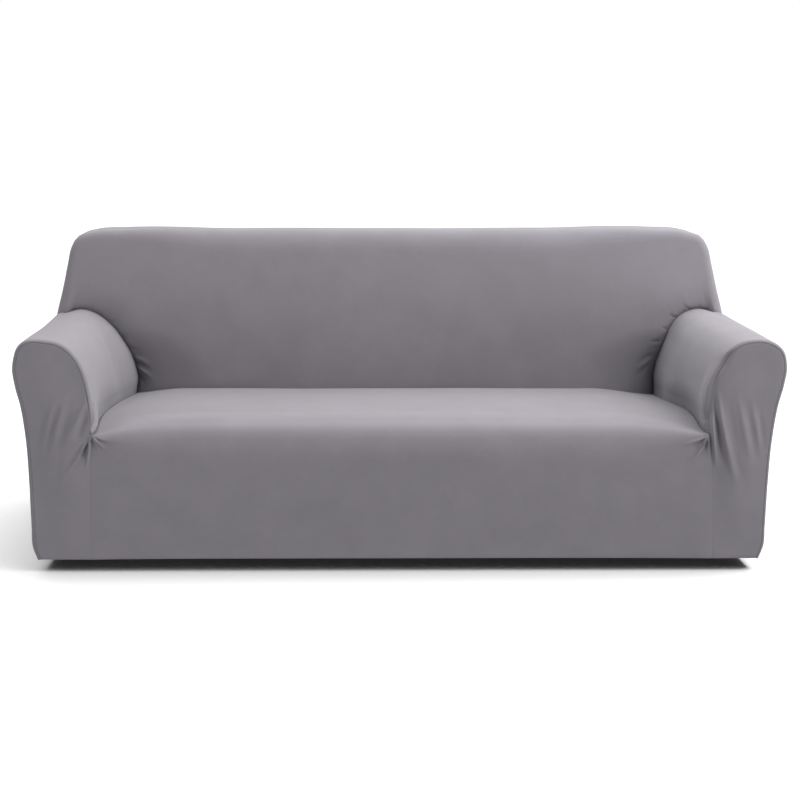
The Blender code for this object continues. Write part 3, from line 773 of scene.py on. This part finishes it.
def make_arm(side, finish):
    """One arm: its inner side, roll and outer side, from the front seam to the back."""
    sign = -1 if side == "left" else 1
    way = (sign, 0, 1)
    by_tuck = spaced(row_of(arm_point, 1.0), 0.0, 0.75, FINE_STEP)
    wall = spaced(row_of(arm_point, 1.0), 0.75, 4.0, CLOTH_STEP)
    places = np.concatenate([by_tuck, wall[1:], hem_places(4.0)])
    inner_side = column_of(arm_point, 1.5)
    front = spaced(inner_side, 0.0, 1.0, NARROW_STEP, (True, False))
    by_front = spaced(inner_side, 1.0, 1.2, FINE_STEP)
    long = spaced(inner_side, 1.2, 2.0, CLOTH_STEP, bunch=0.2)
    rear = spaced(column_of(arm_point, 3.5), 2.0, 3.0, NARROW_STEP, (False, True))
    depths = np.concatenate([front, by_front[1:], long[1:], rear[1:]])
    points = arm_point(*np.meshgrid(places, depths))
    edge = points[-1] - points[-2]
    points[-1] -= SEAM_GAP * edge / np.linalg.norm(edge, axis=-1, keepdims=True)
    points = stand(points)
    if side == "left":
        points = mirrored(points)
    points = shifted(points)
    inner = (points[..., 0] * sign < ARM_MIDDLE) * ease((FOLDS_END - points[..., 2]) / FOLDS_FADE)
    folds = fold_height(points[..., [1, 2]], ARM_FOLDS[side]) * inner
    points = lay(points, way, folds + slack(points) + hem_stitching(points))
    face, behind = face_part(places), ease((places - REAR_FROM) / (3 - REAR_FROM))
    inwards = np.array([-sign, 0.0, 0.0])
    pull = (face - behind)[:, None] * BACK + ((1 - face) * (1 - behind))[:, None] * inwards
    draw_in(points, "left", DOWN, groove(points[:, 0]), GROOVE_WIDTH)
    draw_in(points, "last", BACK, crease_set(points[-1]) * face, CREASE_SET_WIDTH)
    draw_in(points, "last", pull, mix(SEAM_DEPTH, CREASE_DEPTH, face), mix(SEAM_WIDTH, CREASE_WIDTH, face))
    depth, width, pull = front_seam(side, places)
    draw_in(points, "first", pull, depth, width)
    shows = np.maximum(tightness(side, places) * ease(places / FULL_FROM), (depths > 1.5)[:, None])
    name = f"arm_{side}_cloth"
    cloth_panel(name, points, way, finish, ("first", "last"), shows)


def tightness(side, places):
    """How tight an arm's front seam is: soft inside the right arm, tight everywhere else."""
    return np.ones_like(places) if side == "left" else ease((places - SOFT_END) / SOFT_FADE)


def front_seam(side, places):
    """How far an arm's front seam is drawn in, over what width and which way."""
    tight, full = tightness(side, places), ease(places / FULL_FROM)
    depth = mix(FRONT_SEAM_DEPTH, mix(SOFT_SEAM_DEPTH, SEAM_DEPTH, tight), full)
    width = mix(FRONT_SEAM_WIDTH, mix(SOFT_SEAM_WIDTH, SEAM_WIDTH, tight), full)
    return depth, width, mix(BACK, mix(SOFT_PULL, BACK, tight[:, None]), full[:, None])


def make_arm_front(side, finish):
    """The panel that closes an arm's front, from the hem up to the roll."""
    way = (0, -1, 0)
    seam = np.linspace(2, 1, DENSE)
    seam_line = seat_point(np.ones_like(seam), seam)
    inner, outer, roll = np.linspace(0, 1, DENSE)[1:], np.linspace(4, 2, DENSE), np.linspace(1, 2, DENSE)
    left = np.concatenate([seam_line, arm_point(inner, 0 * inner)])
    right, top = arm_point(outer, 0 * outer), arm_point(roll, 0 * roll)
    points, over, up = filled(left, right, top, FINE_STEP, ARM_FRONT_BULGE, -1)
    if side == "left":
        points = mirrored(points)
    points = shifted(points)
    folds = fold_height(points[..., [0, 2]], FRONT_FOLDS)
    points = lay(points, way, folds + hem_stitching(points))
    high, seam_high = line_lengths(left)[-1], line_lengths(seam_line)[-1]
    above = (up * high - seam_high) / (high - seam_high)
    depth, width, pull = front_seam(side, np.clip(above, 0, 1))
    foot = np.ones(HEM_ROWS)
    depth, width = np.append(foot * depth[0], depth), np.append(foot * width[0], width)
    inner_edge = ("left", np.concatenate([foot[:, None] * pull[0], pull]), depth, width)
    depth, width, pull = front_seam(side, 1 + over)
    draw_in_most(points, (inner_edge, ("last", pull, depth, width), ("right", BACK, SEAM_DEPTH, SEAM_WIDTH)))
    up_seam = np.append(0 * foot, tightness(side, above * (1 - seam_high / high)) * ease(above / FULL_FROM))
    shows = np.maximum(up_seam[:, None], tightness(side, 1 + over) * ease(over / 0.3))
    name = f"arm_front_{side}_cloth"
    cloth_panel(name, points, way, finish, ABOVE_FOOT, shows)


def filled(left, right, top, step, bulge, way):
    """An upright panel within its edge lines, swelling a little, way -1 at the front or 1 at the rear.

    Its foot is straight and turned under. Also gives the places of its columns and rows, from 0 to 1.
    """
    bottom = mix(left[0], right[0], np.linspace(0, 1, DENSE)[:, None])
    high, wide = line_lengths(left)[-1], line_lengths(top)[-1]
    up = steps_between(high, step, False, True) / high
    over = steps_between(wide, step, True, True) / wide
    left, right = resampled(left, up), resampled(right, up)
    bottom, top = resampled(bottom, over), resampled(top, over)
    a, b = over[None, :, None], up[:, None, None]
    sides = mix(left[:, None], right[:, None], a)
    ends = mix(bottom[None], top[None], b)
    corners = mix(mix(bottom[0], bottom[-1], a), mix(top[0], top[-1], a), b)
    swell = bulge * (16 * a * (1 - a) * b * (1 - b)) ** 2
    points = sides + ends - corners + way * swell * BACK
    inset, drop = hem_turn(hem_places(0.0)[::-1])
    under = points[:1] + vectors(0 * inset, -way * inset, drop)[:, None]
    return stand(np.concatenate([under, points])), over, up


def make_seat_front(finish):
    """Seat and front in one panel, from the crease at the back over the front edge to the hem."""
    way = (0, -1, 1)
    top = spaced(column_of(seat_point, 0.5), 0.0, 0.8, CLOTH_STEP)
    by_tuck = spaced(column_of(seat_point, 0.99), 0.8, 1.3, FINE_STEP)
    low = spaced(column_of(seat_point, 0.5), 1.3, 2.0, PLAIN_STEP)
    along = np.concatenate([top, by_tuck[1:], low[1:], hem_places(2.0)])
    across = both_sides(row_of(seat_point, 1.5), BY_SIDE, FINE_STEP, PLAIN_STEP)
    points = shifted(stand(seat_point(*np.meshgrid(across, along))))
    front = ease((SEAT_EDGE - points[..., 1]) / SEAT_EDGE_FADE)
    folds = fold_height(points[..., [0, 2]], FRONT_FOLDS)
    points = lay(points, way, (folds + hem_stitching(points)) * front + slack(points))
    rear = points[0]
    set_back = crease_set(rear) * near_ends(rear, CREASE_SET_WIDTH)
    for edge in ("left", "right"):
        draw_in(points, edge, DOWN, groove(from_edge(points, edge)[0]) * (along < 1), GROOVE_WIDTH)
    draw_in(points, "first", BACK, set_back + CREASE_DEPTH * near_ends(rear, CREASE_WIDTH), CREASE_SET_WIDTH)
    for edge in ("left", "right"):
        draw_in(points, edge, BACK, FRONT_SEAM_DEPTH * (along > 1), FRONT_SEAM_WIDTH)
    cloth_panel("seat_front_cloth", points, way, finish, ())


def make_inner_back(finish):
    """Inside back, up from the seat crease, over the top and sides to the rear seam."""
    way = (0, -1, 1)
    face = spaced(column_of(inner_back_point, 0.99), 0.0, 2.0, NARROW_STEP)
    band = spaced(column_of(inner_back_point, 0.3), 2.0, 3.0, CLOTH_STEP, (False, True))
    places = np.concatenate([face, band[1:]])
    across = both_sides(row_of(inner_back_point, 1.0), BY_SIDE, NARROW_STEP, PLAIN_STEP)
    points = shifted(stand(inner_back_point(*np.meshgrid(across, places))))
    front = ease((BACK_FRONT - points[..., 1]) / BACK_FRONT_FADE)
    folds = fold_height(points[..., [0, 2]], BACK_FOLDS)
    points = lay(points, way, folds * front + slack(points))
    low = points[0]
    draw_in(points, "first", DOWN, groove(low) * near_ends(low, GROOVE_WIDTH), GROOVE_WIDTH)
    face = face_part(places)
    depth, width = mix(SEAM_DEPTH, CREASE_DEPTH, face), mix(SEAM_WIDTH, CREASE_WIDTH, face)
    for edge, sign in (("left", 1), ("right", -1)):
        pull = mix(np.array([sign, 0.0, 0.0]), BACK, face[:, None])
        draw_in(points, edge, BACK, crease_set(from_edge(points, edge)[0]) * face, CREASE_SET_WIDTH)
        draw_in(points, edge, pull, depth, width)
    draw_in(points, "last", -BACK, SEAM_DEPTH, SEAM_WIDTH)
    cloth_panel("inner_back_cloth", points, way, finish, ABOVE_FOOT)


def make_outer_back(finish):
    """The rear panel, from the hem up to the seam behind the top edge."""
    way = (0, 1, 0)
    across = np.linspace(1, -1, DENSE)
    rim = inner_back_point(across, np.full_like(across, 3.0))
    first = int(REAR_CORNER / line_lengths(rim)[-1] * DENSE)
    right = np.concatenate([junction(np.linspace(4, 3, DENSE)), rim[1:first]])
    top = rim[first:DENSE - first][::-1]
    points, _, _ = filled(mirrored(right), right, top, PLAIN_STEP, REAR_BULGE, 1)
    points = lay(points, way, slack(points) * 0.5 + hem_stitching(points))
    for edge in ABOVE_FOOT:
        draw_in(points, edge, -BACK, SEAM_DEPTH, SEAM_WIDTH)
    cloth_panel("outer_back_cloth", points, way, finish, ABOVE_FOOT)


# -------- finishes
YARN = (0.196, 0.184, 0.203)
CLOUDING, NAP = 0.24, 0.08     # how far the brushed face varies in shade, broadly and finely
STITCH_AND_PAINTED_SHADE = 0.42            # how much darker the cloth is painted at a seam's stitches, partly for the stitching and partly as painted shade in the seam's groove
STITCH_AND_SHADE_FADE = -1400.0          # and how fast that fades, for each metre
GATHER_HEIGHT = 0.0012         # of the small gathers along a seam
GATHER_FADE = -120.0
RIBS, ROWS = 4800.0, 5600.0    # of the knit, in radians for each metre
KNIT_HEIGHT = 0.00003
FUZZ_HEIGHT = 0.00012


class Wire:
    """A node's output. Sums and products with it add the Math nodes that they need."""

    def __init__(self, nodes, socket):
        self.nodes = nodes
        self.socket = socket

    def __add__(self, other):
        return self.nodes.maths("ADD", self, other)

    def __sub__(self, other):
        return self.nodes.maths("SUBTRACT", self, other)

    def __rsub__(self, other):
        return self.nodes.maths("SUBTRACT", other, self)

    def __mul__(self, other):
        return self.nodes.maths("MULTIPLY", self, other)

    __radd__ = __add__
    __rmul__ = __mul__


class Nodes:
    """The node tree of a finish or of the room."""

    def __init__(self, tree):
        self.tree = tree

    def node(self, kind, settings=None, inputs=None, output=0):
        """Adds a node, sets it, fills its sockets with values or wires, and gives one of its outputs."""
        made = self.tree.nodes.new(kind)
        for setting, value in (settings or {}).items():
            setattr(made, setting, value)
        for socket, value in (inputs or {}).items():
            self.fill(made.inputs[socket], value)
        return Wire(self, made.outputs[output])

    def maths(self, operation, *values):
        return self.node("ShaderNodeMath", {"operation": operation}, dict(enumerate(values)))

    def fill(self, socket, value):
        if isinstance(value, Wire):
            self.tree.links.new(value.socket, socket)
        else:
            socket.default_value = value


class Finish(Nodes):
    """A material under construction."""

    def __init__(self, name):
        self.material = bpy.data.materials.new(name)
        self.material.use_nodes = True
        super().__init__(self.material.node_tree)
        self.shader = self.tree.nodes["Principled BSDF"]

    def surface(self, inputs):
        """Fills the shader's own sockets."""
        for socket, value in inputs.items():
            self.fill(self.shader.inputs[socket], value)


def brushed_knit():
    """Warm grey stretch knit with a soft brushed face, painted darker at its seams' stitches for the
    stitching and the shade in their grooves.
    """
    cloth = Finish("brushed_knit")
    place = cloth.node("ShaderNodeTexCoord", output="Object")
    weave = cloth.node("ShaderNodeUVMap", {"uv_map": "cloth"})
    across, along = (cloth.node("ShaderNodeSeparateXYZ", None, {"Vector": weave}, axis) for axis in "XY")
    seam_near, seam_run = (cloth.node("ShaderNodeAttribute", {"attribute_name": label}, output="Fac")
                           for label in ("seam_near", "seam_run"))

    def mottle(scale, detail, roughness=0.5):
        return cloth.node("ShaderNodeTexNoise", {"noise_dimensions": "3D"},
                          {"Vector": place, "Scale": scale, "Detail": detail, "Roughness": roughness})

    clouds, nap, fuzz = mottle(9.0, 4.0, 0.62), mottle(160.0, 2.0, 0.6), mottle(700.0, 2.0)
    # painted shade: the cloth is darkened along the seams' stitches, partly for the stitching and partly
    # standing in for the shade in the seams' grooves
    stitch_and_painted_shade = cloth.maths("EXPONENT", seam_near * STITCH_AND_SHADE_FADE)
    shade = 1 + (clouds - 0.5) * CLOUDING + (nap - 0.5) * NAP - stitch_and_painted_shade * STITCH_AND_PAINTED_SHADE
    colour = cloth.node("ShaderNodeVectorMath", {"operation": "SCALE"}, {0: YARN, "Scale": shade})
    ribs = cloth.maths("SINE", across * RIBS)
    rows = cloth.maths("SINE", along * ROWS + ribs * 1.3)
    gathers = cloth.node("ShaderNodeTexNoise", {"noise_dimensions": "1D"}, {"W": seam_run, "Scale": 110.0})
    gathered = (gathers - 0.5) * cloth.maths("EXPONENT", seam_near * GATHER_FADE)
    grain = (ribs + rows) * KNIT_HEIGHT + fuzz * FUZZ_HEIGHT + gathered * GATHER_HEIGHT
    bump = cloth.node("ShaderNodeBump", None, {"Height": grain, "Strength": 0.8, "Distance": 1.0})
    cloth.surface({"Base Color": colour, "Roughness": 0.92, "Normal": bump, "Specular IOR Level": 0.25,
                   "Sheen Weight": 0.18, "Sheen Roughness": 0.45})
    return cloth.material


def plain_finish(name, grey, roughness):
    finish = Finish(name)
    finish.surface({"Base Color": (grey, grey, grey, 1), "Roughness": roughness})
    return finish.material


# -------- camera, floor and light
CAMERA_PLACE = (-0.2031, -4.389, 1.2593)
CAMERA_DOWN, CAMERA_TURN = 11.3464, -0.4019     # degrees below level, and to the side
FLOOR_BELOW = 0.032    # the floor lies this far below the hem's corners
FLOOR_REACH = 30.0
SHADE_INSET = 0.03     # of the dark card under the cover, within the hem
SHADE_ABOVE = 0.008    # and above the floor
ROOM_LIGHT = 0.30      # from all round above the horizon
FLOOR_LIGHT = 0.43     # sent back up by the white floor round the cover
BACKDROP_LIGHT = 1.0   # the white that the camera sees behind the cover
SKIES = (
    # name, strength, width in degrees, which way it lies
    ("right_sky", 0.86, 60, (1.0, 0.0, 1.0)),
    ("left_sky", 0.90, 60, (-1.0, 0.0, 1.0)),
    ("high_right_sky", 1.49, 60, (0.423, 0.0, 0.906)),
    ("rear_sky", 1.83, 60, (0.0, 0.574, 0.819)),
    ("low_left_sky", 0.47, 40, (-1.0, -0.8, -0.22)),
    ("low_right_sky", 1.26, 40, (1.0, -0.8, -0.22)),
)
SOFTBOXES = (
    # name, watts, width, place, what it points at
    ("front_right_box", 20.0, 1.2, (1.8, -1.0, 2.0), (0.6, 0.0, 0.5)),
    ("front_left_box", 4.8, 1.2, (-1.8, -1.0, 2.0), (-0.6, 0.0, 0.5)),
    ("right_box", 16.0, 0.8, (2.4, 0.1, 1.5), (0.3, 0.2, 0.6)),
    ("top_box", 8.3, 1.0, (0.3, 0.2, 2.4), (0.3, 0.0, 0.0)),
)


def set_camera():
    data = bpy.data.cameras.new("camera")
    data.lens = 65.31
    data.sensor_width = 36.0
    data.shift_x = 0.0787
    camera = placed("camera", data)
    camera.location = CAMERA_PLACE
    camera.rotation_euler = np.radians([90 - CAMERA_DOWN, 0, CAMERA_TURN])
    bpy.context.scene.camera = camera


def stage_plane(name, reach_across, reach_deep, height, finish):
    """A level plane that serves the view and isn't part of the cover."""
    mesh = grid_mesh(name, 1, 1, finish)
    for vert in mesh.vertices:
        vert.co = (vert.co.x * reach_across, vert.co.y * reach_deep, height)
    plane = placed(name, mesh)
    return plane


def set_floor():
    pale = plain_finish("pale_floor", 0.80, 0.9)
    floor = stage_plane("floor", FLOOR_REACH, FLOOR_REACH, -FLOOR_BELOW, pale)
    floor.visible_diffuse = False
    floor.visible_shadow = False


def set_underside():
    """Keeps light from under the hollow cover, as the sofa in it would. The camera doesn't see it."""
    dark = plain_finish("dark_underside", 0.02, 1.0)
    height = SHADE_ABOVE - FLOOR_BELOW
    card = stage_plane("underside", HALF_WIDTH - SHADE_INSET, MIDDLE - SHADE_INSET, height, dark)
    card.visible_camera = False


def set_room():
    """White all round: brightest to the camera, and from below what a pale floor would send up."""
    world = bpy.data.worlds.new("studio")
    world.use_nodes = True
    bpy.context.scene.world = world
    room = Nodes(world.node_tree)
    way = room.node("ShaderNodeTexCoord", output="Generated")
    height = room.node("ShaderNodeSeparateXYZ", None, {"Vector": way}, "Z")
    above = room.maths("GREATER_THAN", height, 0.0)
    seen = room.node("ShaderNodeLightPath", output="Is Camera Ray")

    def switched(part, low, high):
        return room.node("ShaderNodeMapRange", None, {"Value": part, "To Min": low, "To Max": high})

    strength = switched(seen, switched(above, FLOOR_LIGHT, ROOM_LIGHT), BACKDROP_LIGHT)
    backdrop = room.tree.nodes["Background"]
    room.fill(backdrop.inputs["Color"], (1, 1, 1, 1))
    room.fill(backdrop.inputs["Strength"], strength)


def add_light(name, kind, settings, place, axis, way):
    """Adds a lamp of a kind at a place, turned so that one of its axes points a given way."""
    lamp = bpy.data.lights.new(name, kind)
    for setting, value in settings.items():
        setattr(lamp, setting, value)
    light = placed(name, lamp)
    light.location = place
    light.rotation_euler = Vector(way).to_track_quat(axis, "Y").to_euler()


def set_light():
    set_room()
    for name, power, width, way in SKIES:
        add_light(name, "SUN", {"energy": power, "angle": np.radians(width)}, (0, 0, 0), "Z", way)
    for name, power, width, place, target in SOFTBOXES:
        way = Vector(target) - Vector(place)
        add_light(name, "AREA", {"energy": power, "size": width}, place, "-Z", way)
    bpy.context.scene.view_settings.view_transform = "Standard"


def build():
    finish = brushed_knit()
    for side in ("left", "right"):
        make_arm(side, finish)
        make_arm_front(side, finish)
    make_seat_front(finish)
    make_inner_back(finish)
    make_outer_back(finish)
    set_camera()
    set_floor()
    set_underside()
    set_light()


build()
